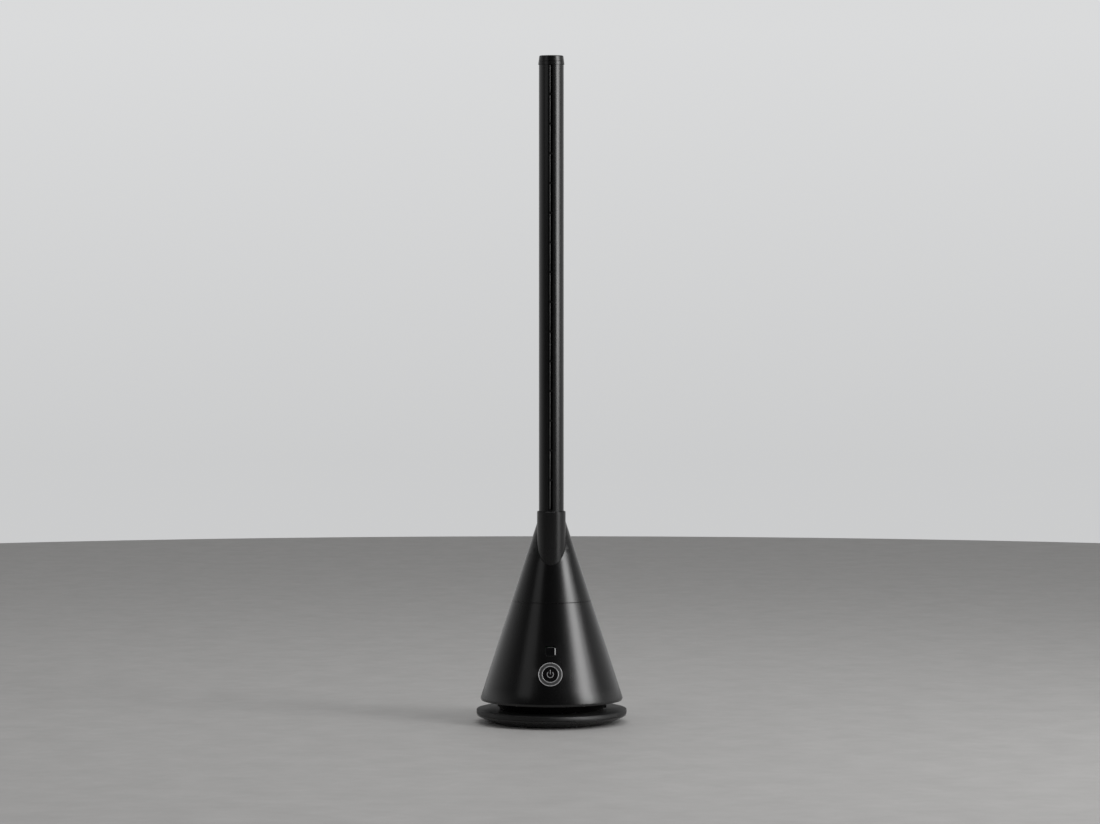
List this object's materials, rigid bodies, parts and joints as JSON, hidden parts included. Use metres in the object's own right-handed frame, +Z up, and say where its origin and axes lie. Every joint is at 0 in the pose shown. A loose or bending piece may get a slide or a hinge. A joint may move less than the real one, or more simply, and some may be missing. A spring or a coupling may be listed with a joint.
{
  "type": "floor fan",
  "caption": "Slim bladeless tower fan: round base, turning cone body with the blower inside, offset slotted outlet tube with a cap.",
  "frame": {"origin": "on the floor, under the middle of the base disc", "axes": "+Z up along the fan's height; the front with the button and the outlet slot faces -Y"},
  "size_m": [0.23, 0.23, 1.02],
  "materials": {
    "gloss_black": "glossy black moulding",
    "satin_black": "satin black moulding",
    "steel": "machined",
    "screw_steel": "zinc plated",
    "rubber": "matt",
    "lead_sleeve": "smooth sleeve",
    "acetal": "natural acetal",
    "motor_can": "drawn can",
    "ring_metal": "satin metal ring with bright edges",
    "switch_plastic": "moulded",
    "board_green": "solder mask",
    "window_black": "dark clear window",
    "wheel_plastic": "glass filled nylon",
    "brass": "turned",
    "inner_plastic": "moulded",
    "copper": "enamelled wire",
    "magnet": "sintered"
  },
  "bodies": {
    "base": {"base_disc": "gloss_black", "base_cover": "satin_black", "base_weight": "steel", "base_feet": "rubber", "base_screws": "screw_steel", "power_inlet": "satin_black", "inlet_lead": "lead_sleeve", "pivot_post": "acetal", "post_screws": "screw_steel", "lower_race": "steel", "race_balls": "steel", "ball_cage": "acetal", "fixed_gear": "acetal", "post_clip": "steel"},
    "tower": {"upper_race": "steel", "oscillation_motor": "motor_can", "oscillation_screws": "screw_steel", "floor_pan": "satin_black", "intake_grille": "satin_black", "shell_screws": "screw_steel", "lower_shell": "gloss_black", "upper_shell": "gloss_black", "button_ring": "ring_metal", "tact_switch": "switch_plastic", "front_board": "board_green", "front_board_screws": "screw_steel", "display_window": "window_black", "control_board": "board_green", "board_screws": "screw_steel", "board_lead": "lead_sleeve", "impeller_shroud": "inner_plastic", "diffuser": "inner_plastic", "motor_dome": "inner_plastic", "motor_housing": "motor_can", "motor_cap": "motor_can", "motor_bearings": "steel", "stator_core": "steel", "stator_windings": "copper", "motor_screws": "screw_steel", "blower_bushes": "rubber", "blower_screws": "screw_steel", "duct_gasket": "rubber", "outlet_duct": "inner_plastic", "tube_seal": "rubber", "collar": "satin_black", "collar_screws": "screw_steel", "tube_shell": "gloss_black", "nozzle_strip": "satin_black", "cap_ring": "satin_black", "cap_lid": "satin_black"},
    "wheel": {"impeller": "wheel_plastic", "motor_shaft": "steel", "motor_rotor": "magnet", "impeller_nut": "brass"},
    "pinion": {"drive_pinion": "acetal", "pinion_shaft": "steel"},
    "button": {"button_cap": "gloss_black", "switch_plunger": "acetal"}
  },
  "joints": [
    {"name": "swing", "type": "hinge", "parent": "base", "child": "tower", "pos_m": [0, 0, 0.0264], "axis": [0, 0, 1], "range_deg": [-40, 40]},
    {"name": "impeller_spin", "type": "hinge", "parent": "tower", "child": "wheel", "pos_m": [0, 0, 0.094], "axis": [0, 0, 1], "continuous": true},
    {"name": "pinion_spin", "type": "hinge", "parent": "tower", "child": "pinion", "pos_m": [-0.03765, 0, 0.036], "axis": [0, 0, 1], "range_deg": [-160, 160]},
    {"name": "button_press", "type": "slide", "parent": "tower", "child": "button", "axis": [0, 0.9513, -0.3082], "range_m": [0, 0.001], "stiffness_N_per_m": 600, "springref_m": -0.0005}
  ],
  "couplings": [
    {"joint": "pinion_spin", "follows": "swing", "ratio": 4}
  ]
}
